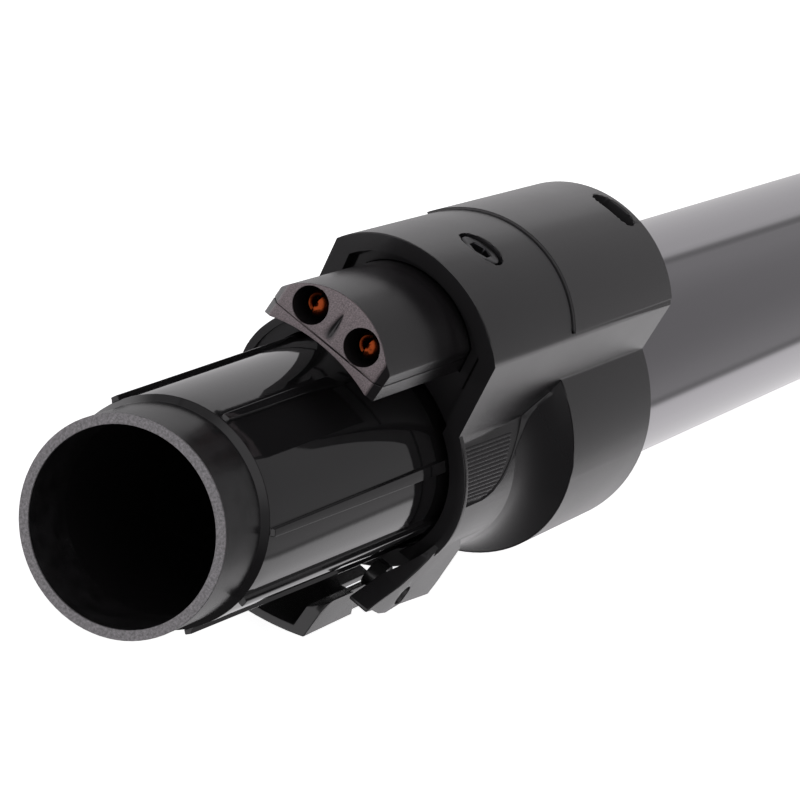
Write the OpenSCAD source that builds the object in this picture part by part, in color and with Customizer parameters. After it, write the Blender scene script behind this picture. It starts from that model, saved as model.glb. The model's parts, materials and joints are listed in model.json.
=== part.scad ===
// Electrified vacuum extension wand, lying on the flats of its two end housings.
// +X runs along the wand from the open end of the spigot, +Z points to the contact side.
// The origin is the centre of the spigot's open end.

/* [Wand] */
// Length of the whole wand
wand_l = 500; // [420:5:760]
// Outer diameter of the metal tube
tube_d = 38.2; // [37.6:0.1:38.6]
// Wall of the metal tube
tube_wall = 0.9; // [0.7:0.1:1.1]
// Outer diameter of the inner air tube
liner_d = 30.4; // [30:0.1:30.6]
// Wall of the inner air tube
liner_wall = 1.2; // [0.8:0.1:1.4]
// Height of the wand's axis above the surface it lies on
axis_h = 24; // [23.9:0.05:24.1]

/* [Spigot] */
// Outer diameter of the nose ring
nose_d = 30; // [29:0.1:30.6]
// Length of the nose ring
nose_l = 10.6; // [8:0.2:13]
// Bore of the spigot
bore_d = 27.1; // [26:0.1:28]
// Length of the chamfer between nose ring and body
step_l = 1.1; // [0.6:0.1:2]
// Diameter of the body just behind the step
body_d = 31.7; // [31.3:0.1:32]
// Growth of the body's diameter along its exposed length
body_growth = 1.5; // [0.5:0.1:1.7]
// Height of the ribs above the body
rib_h = 0.75; // [0.4:0.05:0.8]
// Width of the ribs at the housing
rib_w = 1.9; // [1.2:0.1:2.6]
// Width of the ribs at the nose ring
rib_tip_w = 1.1; // [0.8:0.1:2]

/* [Housing] */
// Distance of the housing's slanted front from the spigot's open end, along the axis
front_x = 73.4; // [70:0.2:78]
// Slant of the front and of the collar's rim, in mm per mm of height
slant = 0.48; // [0.4:0.01:0.52]
// Depth of the recess inside the front rim
recess = 3; // [2:0.1:4]
// Thickness of the flange around the spigot
flange_t = 1.3; // [1:0.1:2]
// Distance of the seam in the crown from the spigot's open end
seam_x = 90.8; // [88:0.2:94]
// Distance of the housing's rear end from the spigot's open end, along the axis
rear_x = 142.8; // [138:0.2:150]
// Slant of the rear end, in mm per mm of height
rear_slant = 0.25; // [0:0.01:0.3]
// Diameter of the flange around the spigot
flange_d = 41.6; // [41:0.1:42]
// Diameter of the neck behind the flange
neck_d = 40.8; // [40.4:0.1:41]
// Diameter of the collar
collar_d = 48.6; // [48.4:0.1:49]
// Distance of the collar's rim from the spigot's open end, along the axis
rim_x = 110; // [106:0.5:114]
// Length of the flare in front of the collar's rim
flare_l = 18; // [12:0.5:24]
// Radius of the crown
crown_r = 17.5; // [17.2:0.1:17.8]
// Height of the crown above the contact block
crown_lift = 3.85; // [3.8:0.05:4.2]
// Width of the housing between its flat sides
crown_w = 29.7; // [29.3:0.1:30.1]
// Wall of the crown
wall = 2.7; // [2.2:0.1:3]
// Depth of the finger scoops below the neck's surface
scoop_depth = 0.9; // [0.5:0.1:1.2]
// Number of finger ridges in each scoop
ridges = 14; // [8:1:16]

/* [Contacts] */
// Distance of the contact block's face from the spigot's open end
block_x = 31.5; // [28:0.5:36]
// Width of the contact block
block_w = 19.6; // [19:0.1:20]
// Chamfer between the block's face and its sides
block_chamfer = 1.2; // [0.6:0.1:1.6]
// Radius of the contact block's rounded top
block_r = 11.65; // [11.5:0.05:11.8]
// Height of the contact block at its middle
block_h = 7.75; // [7.6:0.05:7.9]
// Radius of the block's concave underside, about the wand's axis
block_floor_r = 25.1; // [24.9:0.1:25.2]
// Thickness of the block's lower moulding at its middle
base_t = 0.6; // [0.5:0.1:0.7]
// Height of the contacts above the block's underside
contact_rise = 3.5; // [3.4:0.1:3.7]
// Distance between the two contacts
contact_pitch = 9.2; // [8.8:0.1:9.4]
// Diameter of the holes in the block's face
contact_hole_d = 5.4; // [5.2:0.1:5.5]
// Depth of the socket contacts behind the block's face
contact_set = 2.4; // [1.6:0.1:4]
// Outer diameter of the socket contacts
contact_d = 4.2; // [4:0.1:4.6]
// Bore of the socket contacts
contact_bore_d = 3; // [2.8:0.1:3.2]
// Diameter of the far end's contact pins
pin_d = 2.9; // [2.5:0.1:2.9]
// Outer diameter of the insulated wires
wire_d = 2.3; // [1.8:0.1:2.4]

/* [Latch] */
// Width of the latch lever over its grip pads
lever_w = 32; // [31.6:0.1:32.4]
// Distance of the lever's front edge from the spigot's open end
lever_x = 53.5; // [51:0.5:56]
// Length of the lever
lever_l = 38; // [36:0.5:39]
// Inner radius of the lever, about the wand's axis
lever_r = 20.5; // [20.4:0.1:20.8]
// Depth of the lever's underside below the wand's axis
lever_z = 22.3; // [22.1:0.1:22.4]
// Distance of the hinge pins from the spigot's open end
hinge_x = 74.2; // [73:0.2:76]
// Depth of the hinge pins below the wand's axis
hinge_z = 13.1; // [12.9:0.1:13.3]
// Diameter of the hinge pins
hinge_d = 2.4; // [2:0.1:2.6]
// Height of the lever's hook
hook_h = 1.4; // [1:0.1:1.5]

/* [Far end] */
// Bore of the far socket
socket_d = 35.2; // [35.2:0.1:36]
// Outer diameter of the far socket
socket_od = 40.4; // [40:0.1:40.6]
// Depth of the far socket
socket_l = 64; // [62:0.5:68]

/* [Hidden] */
$fn = 96;

// Clearances
fit_gap = 0.15;
slide_gap = 0.3;
hinge_gap = 0.05;
tiny = 0.01;

// Radii
tube_r = tube_d / 2;
tube_in_r = tube_r - tube_wall;
liner_r = liner_d / 2;
liner_in_r = liner_r - liner_wall;
bore_r = bore_d / 2;
body_r = body_d / 2;
body_end_r = body_r + body_growth / 2;
flange_r = flange_d / 2;
neck_r = neck_d / 2;
scoop_r = neck_r - scoop_depth;
collar_r = collar_d / 2;
socket_r = socket_d / 2;
socket_or = socket_od / 2;
wire_r = wire_d / 2;
contact_r = contact_d / 2;
contact_bore_r = contact_bore_d / 2;
crimp_r = wire_r + 0.75;
spigot_hole_r = body_end_r + rib_h + slide_gap;

// Heights
block_top = block_floor_r + block_h;
parting_z = block_floor_r + base_t;
contact_z = block_floor_r + contact_rise;
crown_rise = block_top + crown_lift - crown_r;
corner_z = crown_rise + sqrt(pow(crown_r, 2) - pow(crown_w / 2, 2));
crown_z = crown_rise + crown_r;
cover_edge_z = corner_z + 0.9;
seat_gap = 0.12;
seat_z = cover_edge_z - seat_gap;
split_z = crown_rise + 8;
cover_proud = 0.35;
cover_t = 2.2;
cover_gap = 0.3;
duct_w = 10.4;
slot_w = 9.2;
wire_z = tube_in_r - wire_r - 0.55;
wire_y = 2.6;
block_cz = block_top - block_r;
parting_gap = 0.04;
trough_z = tube_r + 2.2;

// Stations along the wand, front end
wall_t = 2.5;
body_x1 = front_x - 6;
crown_wall_x = front_x + recess + wall_t - slant * block_top;
block_end_x = crown_wall_x + 5;
screw_x = block_end_x + 5;
tongue_l = 10;
tail_x = seam_x + 5.2;
tail_l = 10.7;
tube_x = tail_x + tail_l + slide_gap;
liner_x = tail_x - 8;
rear_wall_t = 1.7;
window_l = 8;
window_w = 5.2;
window_x = rear_x - rear_slant * crown_z - 4.6;
screw_recess_r = 3.7;

// Stations along the wand, far end
socket_x = wand_l - socket_l;
tube_end_x = socket_x - 12;
plug_l = 10;
pin_face_x = socket_x + block_x - 0.5;
pin_tip_x = pin_face_x + 13.5;
pin_root_r = pin_d / 2 + 0.45;
far_wall_x = pin_face_x + 3;
shroud_x = wand_l - 3.5;
shroud_cut_x = socket_x + front_x - 0.5;
notch_x = socket_x + lever_x + 1.2;
far_block_x = pin_face_x - 19.5;
far_screw_x = far_block_x - 5.5;
far_seam_x = far_screw_x - 8;
far_rear_x = tube_end_x - 19;
far_tube_screw_x = tube_end_x - 10;

// Extrudes a section drawn in the plane across the wand, from one station to another
module along(x0, x1) {
    translate([x0, 0, 0])
        rotate([90, 0, 90])
            linear_extrude(height = x1 - x0)
                children();
}

// Extrudes a side view, drawn with the wand's axis to the right, across the wand
module across(y0, y1) {
    translate([0, y1, 0])
        rotate([90, 0, 0])
            linear_extrude(height = y1 - y0)
                children();
}

module bar(r, x0, x1, y = 0, z = 0) {
    translate([x0, y, z])
        rotate([0, 90, 0])
            cylinder(r = r, h = x1 - x0);
}

module cone(r0, r1, x0, x1, y = 0, z = 0) {
    translate([x0, y, z])
        rotate([0, 90, 0])
            cylinder(r1 = r0, r2 = r1, h = x1 - x0);
}

module post(r, x, y, z0, z1) {
    translate([x, y, z0])
        cylinder(r = r, h = z1 - z0);
}

// Box between two corners
module block(a, b) {
    translate(a)
        cube(b - a);
}

// A shape and its mirror image across the wand's middle plane
module both_sides() {
    children();
    mirror([0, 1, 0])
        children();
}

// Space ahead of a plane that crosses the axis at x and leans by s mm per mm of height
module ahead_of(x, s = slant) {
    reach = 70;
    across(-60, 60)
        polygon([[-20, -reach], [x + s * reach, -reach], [x - s * reach, reach], [-20, reach]]);
}

module behind(x, s = slant) {
    reach = 70;
    end = wand_l + 50;
    across(-60, 60)
        polygon([[x + s * reach, -reach], [end, -reach], [end, reach], [x - s * reach, reach]]);
}

// Upper part of the housing's section, inset by t
module lobe2d(t = 0) {
    half = crown_w / 2 - t;
    intersection() {
        translate([-half, 2])
            square([2 * half, crown_z]);
        union() {
            translate([0, crown_rise])
                circle(r = crown_r - t);
            translate([-40, 0])
                square([80, split_z]);
        }
    }
}

module above2d(z) {
    translate([-60, z])
        square([120, 80]);
}

module below2d(z) {
    translate([-60, z - 80])
        square([120, 80]);
}

// Fills the corner between a flat side of the housing and a round part with a concave arc
module corner2d(round_r, r) {
    cy = crown_w / 2 + r;
    cz = sqrt(pow(round_r + r, 2) - cy * cy);
    t1 = [cy, cz] * round_r / (round_r + r);
    t2 = [cy - r, cz];
    difference() {
        polygon([t1 - [3, 1], t1, [cy, cz], t2, t2 - [3, 0]]);
        translate([cy, cz])
            circle(r = r);
    }
}

// Section of the contact block, grown by t
module block2d(t = 0) {
    half = block_w / 2 + t;
    difference() {
        intersection() {
            translate([0, block_cz])
                circle(r = block_r + t);
            translate([-half, block_floor_r - 7.1])
                square([2 * half, 20]);
        }
        circle(r = block_floor_r - t);
    }
    // flanks below the widest part of the round top
    difference() {
        translate([-half, block_floor_r - 4.1])
            square([2 * half, block_cz - block_floor_r + 7.1]);
        circle(r = block_floor_r - t);
    }
}

// Solid through a row of rings, listed ring by ring with the same number of points
module loft(points, sides) {
    n = len(points) / sides;
    walls = [for (i = [0 : n - 2]) for (k = [0 : sides - 1])
        let (a = i * sides + k, b = i * sides + (k + 1) % sides)
        [a, a + sides, b + sides, b]];
    first = [for (k = [0 : sides - 1]) k];
    last = [for (k = [0 : sides - 1]) n * sides - 1 - k];
    polyhedron(points = points, faces = concat(walls, [first], [last]));
}

// Round solid whose sections [x, r] all lean by s mm per mm of height
module leaning_round(sections, s, sides = 96) {
    points = [for (c = sections) for (k = [0 : sides - 1])
        let (z = c[1] * sin(360 * k / sides))
        [c[0] - s * z, c[1] * cos(360 * k / sides), z]];
    loft(points, sides);
}

// Spigot

rib_angles = [0, 60, -60, 98, -98, 131, -131];

// Wedges that widen towards the housing, one for each rib
module rib_wedges(x0, x1) {
    for (a = rib_angles)
        rotate([-a, 0, 0])
            linear_extrude(height = body_end_r + 4)
                polygon([
                    [x0, -rib_tip_w / 2], [body_x1 + 1.5, -rib_w / 2], [x1, -rib_w / 2],
                    [x1, rib_w / 2], [body_x1 + 1.5, rib_w / 2], [x0, rib_tip_w / 2]
                ]);
}

// Turned solid from a half profile of [radius, x] points
module turned(profile) {
    rotate([0, 90, 0])
        rotate_extrude()
            polygon(profile);
}

module spigot() {
    color("black")
    difference() {
        union() {
            turned([
                [bore_r - 2, 0], [nose_d / 2, 0], [nose_d / 2, nose_l], [body_r, nose_l + step_l],
                [body_end_r, body_x1], [body_end_r, tail_x], [tube_r, tail_x],
                [tube_r, tail_x + tail_l], [bore_r - 2, tail_x + tail_l]
            ]);
            intersection() {
                turned([
                    [bore_r + 1, nose_l], [body_r + rib_h - 0.02, nose_l],
                    [body_end_r + rib_h, body_x1], [body_end_r + rib_h, tail_x - 4],
                    [bore_r + 1, tail_x - 4]
                ]);
                rib_wedges(nose_l + step_l + 0.2, tail_x - 6);
            }
        }
        bar(bore_r, -1, tail_x + tail_l + 1);
        bar(liner_r + hinge_gap, liner_x, tail_x + tail_l + 1);
        // way in for the wires
        block([tail_x - 1, -slot_w / 2, 8], [tail_x + tail_l + 1, slot_w / 2, tube_r + 2]);
        // seat of the rubber ring
        bar(liner_r + seal_h, liner_x + 1, liner_x + 1 + seal_w);
    }
}

seal_w = 2;
seal_h = 0.7;

module seal_at(x) {
    difference() {
        bar(liner_r + seal_h - 0.02, x + 0.1, x + seal_w - 0.1);
        bar(liner_r + 0.02, x - 1, x + seal_w + 1);
    }
}

module liner_seals() {
    color("dimgray") {
        seal_at(liner_x + 1);
        seal_at(socket_x - 4 - seal_w);
    }
}

// Housing at the spigot end

// Flare and collar behind the neck
module collar() {
    rim_step = 0.12;
    rise = collar_r - rim_step - neck_r;
    steps = 8;
    arc_r = (flare_l * flare_l + rise * rise) / (2 * rise);
    start_x = rim_x - flare_l;
    flare = [for (i = [1 : steps])
        let (x = flare_l * i / steps)
        [start_x + x, neck_r + arc_r - sqrt(arc_r * arc_r - x * x)]];
    leaning_round(concat([[start_x - 2, neck_r - 0.7]], flare,
        [[rim_x + 2, collar_r - 0.8]]), slant);
    difference() {
        bar(collar_r, rim_x - 16, rear_x + 14);
        ahead_of(rim_x);
    }
}

scoop_low_z = 4;
scoop_rise = 0.04;

// Radius of a scoop's floor, which rises towards the collar, at x - z from the origin
function floor_r(d) = scoop_r + (d - 60) * scoop_rise;

// Side view of a scoop, its curved rear edge moved out by e
module scoop2d(e) {
    polygon([
        [front_x + 0.6 - slant * (scoop_low_z - e), scoop_low_z - e], [80.5 + e, scoop_low_z - e],
        [83.8 + e, 4.9 - e], [86.2 + e, 6.4 - e], [88 + e, 8.4], [90 + e, 11], [92.5 + e, 13.6],
        [95.5 + e, 15.4], [99 + e, 17.2], [99 + e, 18], [front_x + 0.6 - slant * 18, 18]
    ]);
}

// Floor of a scoop, and the fillet between it and the housing's flat side
module scoop_floor() {
    intersection() {
        leaning_round([[20, floor_r(20)], [110, floor_r(110)]], -1);
        across(10, 30)
            scoop2d(0.7);
    }
    intersection() {
        along(54, 96)
            corner2d(scoop_r - 0.5, 7);
        across(10, 30)
            scoop2d(0.5);
    }
}

// Fine ridges on the floor of the scoops
module finger_ridges() {
    first = 53;
    pitch = 1.8;
    both_sides()
        for (i = [0 : ridges - 1]) {
            a = first + i * pitch;
            z = scoop_r * cos(a);
            x0 = front_x - slant * z + 0.6;
            crease = z < 6 ? 80.5 + (z - scoop_low_z) * 2.2 : 82 + z * 0.5;
            rotate([-a, 0, 0])
                translate([x0, 0, floor_r(x0 - z) - 0.1])
                    rotate([0, 90 - atan(scoop_rise), 0])
                        cylinder(r = 0.26, h = crease - x0, $fn = 24);
        }
}

cheek_in = lever_w / 2 + 0.6;
cheek_out = cheek_in + 3.3;

// Side plates that carry the hinge pins
module cheeks() {
    both_sides()
        across(cheek_in, cheek_out)
            translate([hinge_x, -hinge_z])
                polygon([
                    [2.3, 12.6], [1.4, 9.6], [0.6, 6.8], [-1.4, 5.3], [-5.3, 3], [-10.9, 1.5],
                    [-14, 0.7], [-13.8, 0.1], [-11, -0.2], [-6, -2.1], [-2.6, -2.8],
                    [1.8, -2.2], [6.4, -2.6], [14.4, -3.3], [14.8, -0.9], [14.2, 6.1],
                    [7.8, 9.9]
                ]);
}

// Outer form of the housing ahead of its collar, without the cheeks
module housing_form() {
    difference() {
        union() {
            difference() {
                union() {
                    bar(neck_r, front_x - 12, rim_x + 8);
                    collar();
                }
                both_sides()
                    across(crown_w / 2 - 1, 30)
                        scoop2d(0);
            }
            both_sides()
                scoop_floor();
            // crown, open above its seat for the rear cover
            difference() {
                along(front_x - 22, rear_x + 12)
                    lobe2d();
                block([seam_x, -30, seat_z], [rear_x + 20, 30, 60]);
            }
            // end wall under the cover
            difference() {
                along(rear_x - 16, rear_x + 12)
                    lobe2d(cover_t + fit_gap);
                ahead_of(rear_x - rear_wall_t, rear_slant);
            }
            // flange around the spigot
            difference() {
                bar(flange_r, front_x - 12, front_x + 14);
                behind(front_x + flange_t);
            }
        }
        ahead_of(front_x);
        behind(rear_x, rear_slant);
        // opening for the lever
        block([front_x - 1, -cheek_in, -40], [front_x + 11, cheek_in, -hinge_z + 3]);
    }
}

module bell_housing() {
    color("#2c2c2e")
    difference() {
        union() {
            housing_form();
            finger_ridges();
            cheeks();
            // seat of the contact block's screw
            post(4, screw_x, 0, block_top + fit_gap, crown_z - 1);
        }
        // recess inside the front rim, shallow around the spigot
        intersection() {
            bar(flange_r - 1.2, front_x - 20, front_x + 20);
            ahead_of(front_x + 0.8);
        }
        intersection() {
            along(front_x - 22, front_x)
                intersection() {
                    lobe2d(wall);
                    above2d(12);
                }
            ahead_of(front_x + recess);
            // raised collar around the contact block
            union() {
                ahead_of(front_x + recess - 1.1);
                along(front_x - 24, front_x + 2)
                    difference() {
                        above2d(0);
                        block2d(1.5);
                    }
            }
        }
        // opening for the contact block
        along(front_x - 22, block_end_x + 0.4)
            block2d(fit_gap);
        // hollow crown behind the front wall
        difference() {
            along(front_x - 20, seam_x + 3)
                intersection() {
                    lobe2d(wall);
                    above2d(block_floor_r - fit_gap - 4);
                }
            ahead_of(front_x + recess + wall_t);
            post(4, screw_x, 0, block_top + fit_gap, crown_z);
            // saddle under the contact block
            along(crown_wall_x - 4, block_end_x)
                intersection() {
                    circle(r = block_floor_r - fit_gap);
                    translate([-9, 0])
                        square([18, 40]);
                }
        }
        // wire duct down to the gap between the tubes
        block([block_end_x, -duct_w / 2, 12], [tube_x + 1, duct_w / 2, contact_z + 1.4]);
        // trough under the rear cover
        difference() {
            along(seam_x + 2, rear_x)
                intersection() {
                    lobe2d(wall);
                    above2d(trough_z);
                }
            behind(rear_x - rear_wall_t, rear_slant);
        }
        // bores for the spigot and the tube
        bar(spigot_hole_r, front_x - 20, tail_x + 1);
        bar(tube_r + fit_gap, tail_x - fit_gap, rear_x + 20);
        // head and shank of the block screw
        post(screw_recess_r, screw_x, 0, crown_z - 2.4, crown_z + 4);
        post(1.7, screw_x, 0, contact_z - 0.6, crown_z);
        // tube screw
        post(1.7, window_x, 0, 12, tube_r + 6);
        // flat underside, and room for the pad of the lever
        block([front_x - 20, -40, -60], [rear_x + 20, 40, -axis_h]);
        block([front_x, -pad_w / 2 - 1.5, -40], [lever_x + lever_l + 2, pad_w / 2 + 1.5, -pocket_z]);
        // hinge pins and room for the lever's ears
        translate([hinge_x, 40, -hinge_z])
            rotate([90, 0, 0])
                cylinder(r = hinge_d / 2 + 0.02, h = 80);
        both_sides()
            translate([hinge_x, cheek_out + 1, -hinge_z])
                rotate([90, 0, 0])
                    cylinder(r = hinge_d / 2 + 0.4, h = 1.7);
        both_sides()
            translate([hinge_x, cheek_in, -hinge_z])
                rotate([90, 0, 0])
                    cylinder(r = ear_r + 0.6, h = cheek_in - ear_in_y + 0.4);
    }
}

module crown_band(x0, x1, proud) {
    along(x0, x1)
        intersection() {
            difference() {
                lobe2d(-proud);
                lobe2d(cover_t);
            }
            above2d(cover_edge_z);
        }
}

// Lip that hooks under the one-piece part of the crown, and its root on the cover
module cover_lip(lip_x0, lip_x1, root_x0, root_x1) {
    along(lip_x0, lip_x1)
        intersection() {
            difference() {
                lobe2d(wall + fit_gap);
                lobe2d(wall + 1.6);
            }
            above2d(cover_edge_z);
        }
    along(root_x0, root_x1)
        intersection() {
            difference() {
                lobe2d(cover_t - tiny);
                lobe2d(wall + 1.6);
            }
            above2d(cover_edge_z);
        }
}

// Oval window, wide across the wand
module window() {
    shift = (window_l - window_w) / 2;
    both_sides()
        post(window_w / 2, window_x, shift, trough_z, crown_z + 5);
    block([window_x - window_w / 2, -shift, trough_z],
        [window_x + window_w / 2, shift, crown_z + 5]);
}

module rear_cover() {
    color("#29292b")
    difference() {
        union() {
            crown_band(seam_x + cover_gap, rear_x, cover_proud);
            cover_lip(seam_x - 2.5, seam_x + 4, seam_x + cover_gap, seam_x + 4);
        }
        behind(rear_x, rear_slant);
        window();
    }
}

// Contact block

module block_outline(x0, x1) {
    difference() {
        along(x0, x1)
            block2d();
        both_sides()
            translate([x0, block_w / 2, 0])
                rotate([0, 0, 45])
                    block([-5, -block_chamfer * 0.7071, 10], [5, 5, 50]);
    }
}

module contact_holes(x0, x1, r) {
    for (s = [-1, 1])
        bar(r, x0, x1, y = s * contact_pitch / 2, z = contact_z);
}

module contact_cap() {
    color("#1d1d1f")
    difference() {
        union() {
            block_outline(block_x, block_end_x);
            block([block_end_x - 1, -2.4, contact_z - 2],
                [block_end_x + tongue_l, 2.4, block_top - 0.2]);
        }
        block([block_x - 1, -20, 10], [block_end_x - 0.5, 20, parting_z + parting_gap]);
        block([block_end_x - 1, -20, 10], [block_end_x + tongue_l + 1, 20, contact_z - 2]);
        contact_holes(block_x - 1, block_x + 26.6, contact_hole_d / 2);
        contact_holes(block_x + 26, block_end_x + 1, crimp_r + 0.03);
        post(1.25, screw_x, 0, 20, 40);
        // small keying notch between the holes
        translate([block_x, 0, contact_z + 1])
            rotate([0, 45, 0])
                cube([1.1, 1, 1.1], center = true);
    }
}

module contact_base() {
    color("#1d1d1f")
    intersection() {
        block_outline(block_x, block_end_x);
        block([block_x - 1, -20, 10], [block_end_x - 0.7, 20, parting_z]);
    }
}

module socket_contact(side) {
    y = side * contact_pitch / 2;
    x0 = block_x + contact_set;
    x1 = block_x + 25;
    end_x = block_end_x - 1;
    slit = 0.5;
    color("#a5532a")
    difference() {
        union() {
            bar(contact_r, x0, x1, y, contact_z);
            bar(crimp_r, x1 - tiny, end_x, y, contact_z);
        }
        bar(contact_bore_r, x0 - 1, x1 - 4, y, contact_z);
        bar(wire_r + 0.02, x1 + 3.5, end_x + 1, y, contact_z);
        // slits between the springy fingers
        block([x0 - 1, y - slit / 2, contact_z - 5], [x0 + 9, y + slit / 2, contact_z + 5]);
        block([x0 - 1, y - 3, contact_z - slit / 2], [x0 + 9, y + 3, contact_z + slit / 2]);
    }
}

module contact_left() { socket_contact(1); }
module contact_right() { socket_contact(-1); }

// Socket-headed screw that stands upright, its head on z
module cap_screw(x, z, tip_z, head_r, head_h, shank_r) {
    difference() {
        union() {
            post(head_r, x, 0, z, z + head_h);
            post(shank_r, x, 0, tip_z, z + tiny);
        }
        translate([x, 0, z + head_h * 0.35])
            cylinder(r = head_r * 0.58, h = head_h, $fn = 6);
    }
}

module block_screw() {
    color("#1a1a1a")
    cap_screw(screw_x, crown_z - 2.4, contact_z - 1.5, 3.15, 1.9, 1.23);
}

module tube_screws() {
    color("silver") {
        cap_screw(window_x, trough_z, tube_in_r - 0.9, 2.5, 1.8, 1.25);
        cap_screw(far_tube_screw_x, trough_z, tube_in_r - 0.9, 2.5, 1.8, 1.25);
    }
}

// Latch

ear_r = 2.3;
ear_in_y = lever_w / 2 - 2.2;
lever_wall = 1.3;
side_y = lever_w / 2 - 0.8;
shell_end_x = hinge_x + 3.6;
pad_w = 20;
pad_t = 1.4;
pocket_z = neck_r - 1.5;

// Radius of the lever's underside, flatter than the wand
lever_drop = 3.1;
lever_arc_r = (pow(lever_w / 2, 2) + pow(lever_drop, 2)) / (2 * lever_drop);

module lever2d(half, thick) {
    side_top = -12.8;
    intersection() {
        translate([-half, -lever_z - 1])
            square([2 * half, lever_z + 1 + side_top]);
        translate([0, lever_arc_r - lever_z])
            circle(r = lever_arc_r - thick, $fn = 180);
    }
}

module latch_lever() {
    color("#232325")
    difference() {
        union() {
            difference() {
                along(lever_x, shell_end_x)
                    lever2d(side_y, 0);
                along(lever_x - 1, shell_end_x + 1)
                    union() {
                        lever2d(ear_in_y, lever_wall);
                        circle(r = lever_r);
                    }
            }
            // grip pads on the sides
            intersection() {
                along(lever_x, shell_end_x)
                    difference() {
                        lever2d(lever_w / 2, 0);
                        square([2 * side_y - 0.4, 100], center = true);
                        circle(r = lever_r);
                    }
                across(-20, 20)
                    translate([lever_x, 0])
                        polygon([
                            [0, -30], [0, -14.6], [0.7, -13.4], [2, -12.9], [9.8, -13],
                            [12.8, -14.8], [19, -20.6], [19, -30]
                        ]);
            }
            // rear end that is pushed to open the latch
            block([shell_end_x - 6, -pad_w / 2, -lever_z],
                [lever_x + lever_l, pad_w / 2, -lever_z + pad_t]);
            // hook behind the front edge
            block([lever_x + 1.5, -5, -lever_z + 0.5], [lever_x + 4, 5, -lever_r + hook_h]);
            both_sides()
                translate([hinge_x, lever_w / 2, -hinge_z])
                    rotate([90, 0, 0])
                        cylinder(r = ear_r, h = lever_w / 2 - ear_in_y);
        }
        translate([hinge_x, 40, -hinge_z])
            rotate([90, 0, 0])
                cylinder(r = hinge_d / 2 + hinge_gap, h = 80);
    }
}

module hinge_pins() {
    color("silver")
    both_sides()
        translate([hinge_x, cheek_out - 0.9, -hinge_z])
            rotate([90, 0, 0])
                cylinder(r = hinge_d / 2, h = cheek_out - 0.9 - ear_in_y);
}

// Bent leaf between the neck and the lever's pad
module latch_spring() {
    leaf = 0.3;
    x0 = shell_end_x + 2;
    x1 = lever_x + lever_l - 2;
    top = pocket_z + 0.02;
    low = lever_z - pad_t - 0.02;
    color("silver")
    across(-3, 3)
        polygon([
            [x0, -top - leaf], [x0, -top], [x0 + 4, -top], [x1 - 2, -low + leaf],
            [x1, -low + leaf], [x1, -low], [x1 - 2.1, -low], [x0 + 3.9, -top - leaf]
        ]);
}

// Tubes

module wand_tube() {
    color("#4a4a50")
    difference() {
        bar(tube_r, tube_x, tube_end_x);
        bar(tube_in_r, tube_x - 1, tube_end_x + 1);
        post(1.35, window_x, 0, 12, tube_r + 1);
        post(1.35, far_tube_screw_x, 0, 12, tube_r + 1);
    }
}

module liner_tube() {
    color("#3a3a3a")
    difference() {
        bar(liner_r, liner_x + fit_gap, socket_x - 2);
        bar(liner_in_r, liner_x - 1, socket_x);
    }
}

// Wires

// Route of one wire from its socket contact to its pin, side is 1 or -1
function wire_route(side) = [
    [block_x + 28.8, side * contact_pitch / 2, contact_z],
    [block_end_x, side * contact_pitch / 2, contact_z],
    [block_end_x + 3, side * (contact_pitch / 2 - 0.05), contact_z - 0.2],
    [block_end_x + 8, side * 4.4, contact_z - 1.2],
    [block_end_x + 14, side * 4.1, contact_z - 3.2],
    [tail_x - 7, side * 3.7, contact_z - 6.1],
    [tail_x - 4, side * 3.2, wire_z + 3.7],
    [tail_x - 1, side * 2.8, wire_z + 1.7],
    [tail_x + 2, side * wire_y, wire_z + 0.5],
    [tail_x + 5.5, side * wire_y, wire_z + 0.08],
    [tube_x + 1, side * wire_y, wire_z],
    [(tube_x + tube_end_x) / 2, side * wire_y, wire_z],
    [tube_end_x - 1.5, side * wire_y, wire_z],
    [tube_end_x + 1, side * wire_y, wire_z + 0.25],
    [tube_end_x + 3, side * wire_y, wire_z + 1.3],
    [tube_end_x + 5, side * 2.7, wire_z + 3.1],
    [tube_end_x + 7, side * 2.9, wire_z + 5.4],
    [tube_end_x + 9, side * 3.2, wire_z + 7.8],
    [tube_end_x + 11.5, side * 3.7, contact_z - 2.3],
    [tube_end_x + 14, side * 4.35, contact_z - 0.75],
    [far_block_x - 7.3, side * contact_pitch / 2, contact_z],
    [far_block_x - 3.5, side * contact_pitch / 2, contact_z]
];

function unit(v) = v / norm(v);

function heading(route, i) =
    unit(route[min(i + 1, len(route) - 1)] - route[max(i - 1, 0)]);

// Ring of points around the route, kept upright so that it doesn't twist
function ring(route, i, r, sides) =
    let (h = heading(route, i), side = unit(cross([0, 0, 1], h)), up = cross(h, side))
    [for (k = [0 : sides - 1])
        route[i] + r * (cos(360 * k / sides) * side + sin(360 * k / sides) * up)];

module wire(side) {
    route = wire_route(side);
    sides = 10;
    loft([for (i = [0 : len(route) - 1]) each ring(route, i, wire_r, sides)], sides);
}

module wire_left() {
    color("#7a1f1a")
    wire(1);
}

module wire_right() {
    color("#1a1a1a")
    wire(-1);
}

// Far end

notch_l = 3.1;

module socket_sleeve() {
    color("#1f1f21")
    difference() {
        union() {
            bar(socket_or, tube_end_x + slide_gap, wand_l);
            bar(tube_in_r - 0.05, tube_end_x - plug_l, tube_end_x + 1);
        }
        bar(socket_r, socket_x, wand_l + 1);
        bar(liner_r + hinge_gap, tube_end_x - plug_l - 1, socket_x - 1.5);
        bar(liner_in_r, socket_x - 3, socket_x + 1);
        bar(liner_r + seal_h, socket_x - 4 - seal_w, socket_x - 4);
        // way out for the wires
        block([tube_end_x - plug_l - 1, -slot_w / 2, 0], [tube_end_x + 8, slot_w / 2, socket_or + 2]);
        // notch for a latch hook
        block([notch_x, -5.6, -socket_or - 2], [notch_x + notch_l, 5.6, -socket_r + 4]);
    }
}

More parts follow.
